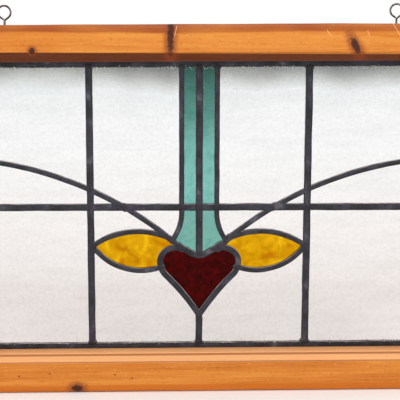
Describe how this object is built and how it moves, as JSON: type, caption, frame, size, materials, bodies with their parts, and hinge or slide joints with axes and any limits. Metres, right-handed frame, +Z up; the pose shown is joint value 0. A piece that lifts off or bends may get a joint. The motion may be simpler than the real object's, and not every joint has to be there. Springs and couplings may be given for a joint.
{
  "type": "leaded window light",
  "caption": "Leaded glass light in a moulded pine sash: clear panes, teal column, amber leaves and a red heart, held by lead cames and hung from two screw eyes.",
  "frame": {"origin": "midway between the two screw eyes, at the mean height of the inside tops of their rings, where it hangs; on the sash's middle plane and on the design's axis", "axes": "+X to the right seen from the front, +Y towards the back (the moulded front faces -Y), +Z up"},
  "size_m": [0.5448, 0.0446, 0.4047],
  "materials": {
    "pine": "waxed old pine with a worn, grimy outer edge",
    "bead_pine": "plain bead, unwaxed and darker",
    "lead": "dull weathered lead came with solder at the joints",
    "eye_steel": "tarnished bright steel wire",
    "clear_glass": "finely textured clear glass",
    "teal_glass": "teal cathedral glass",
    "amber_glass": "streaky amber cathedral glass",
    "red_glass": "deep red cathedral glass"
  },
  "bodies": {
    "root": {"border_lead_bottom": "lead", "border_lead_left": "lead", "border_lead_right": "lead", "border_lead_top": "lead", "bottom_rail": "pine", "column_lead_left": "lead", "column_lead_middle": "lead", "column_lead_right": "lead", "crossbar_lead_left_column": "lead", "crossbar_lead_left_corner": "lead", "crossbar_lead_left_inner": "lead", "crossbar_lead_left_outer": "lead", "crossbar_lead_right_column": "lead", "crossbar_lead_right_corner": "lead", "crossbar_lead_right_inner": "lead", "crossbar_lead_right_outer": "lead", "glass_heart": "red_glass", "glass_left_column_lower": "teal_glass", "glass_left_column_upper": "teal_glass", "glass_left_corner": "clear_glass", "glass_left_leaf": "amber_glass", "glass_left_lower_inner": "clear_glass", "glass_left_lower_outer": "clear_glass", "glass_left_outer_wedge": "clear_glass", "glass_left_over_leaf": "clear_glass", "glass_left_spandrel": "clear_glass", "glass_left_upper_inner": "clear_glass", "glass_left_upper_outer": "clear_glass", "glass_right_column_lower": "teal_glass", "glass_right_column_upper": "teal_glass", "glass_right_corner": "clear_glass", "glass_right_leaf": "amber_glass", "glass_right_lower_inner": "clear_glass", "glass_right_lower_outer": "clear_glass", "glass_right_outer_wedge": "clear_glass", "glass_right_over_leaf": "clear_glass", "glass_right_spandrel": "clear_glass", "glass_right_upper_inner": "clear_glass", "glass_right_upper_outer": "clear_glass", "glazing_bead_bottom": "bead_pine", "glazing_bead_left": "bead_pine", "glazing_bead_right": "bead_pine", "glazing_bead_top": "bead_pine", "heart_lead": "lead", "leaf_lead_left_bottom": "lead", "leaf_lead_left_top": "lead", "leaf_lead_right_bottom": "lead", "leaf_lead_right_top": "lead", "left_stile": "pine", "right_stile": "pine", "screw_eye_left": "eye_steel", "screw_eye_right": "eye_steel", "stem_lead": "lead", "sweep_lead_left_inner": "lead", "sweep_lead_left_outer": "lead", "sweep_lead_right_inner": "lead", "sweep_lead_right_outer": "lead", "top_rail": "pine", "upright_lead_left": "lead", "upright_lead_right": "lead"}
  },
  "joints": []
}
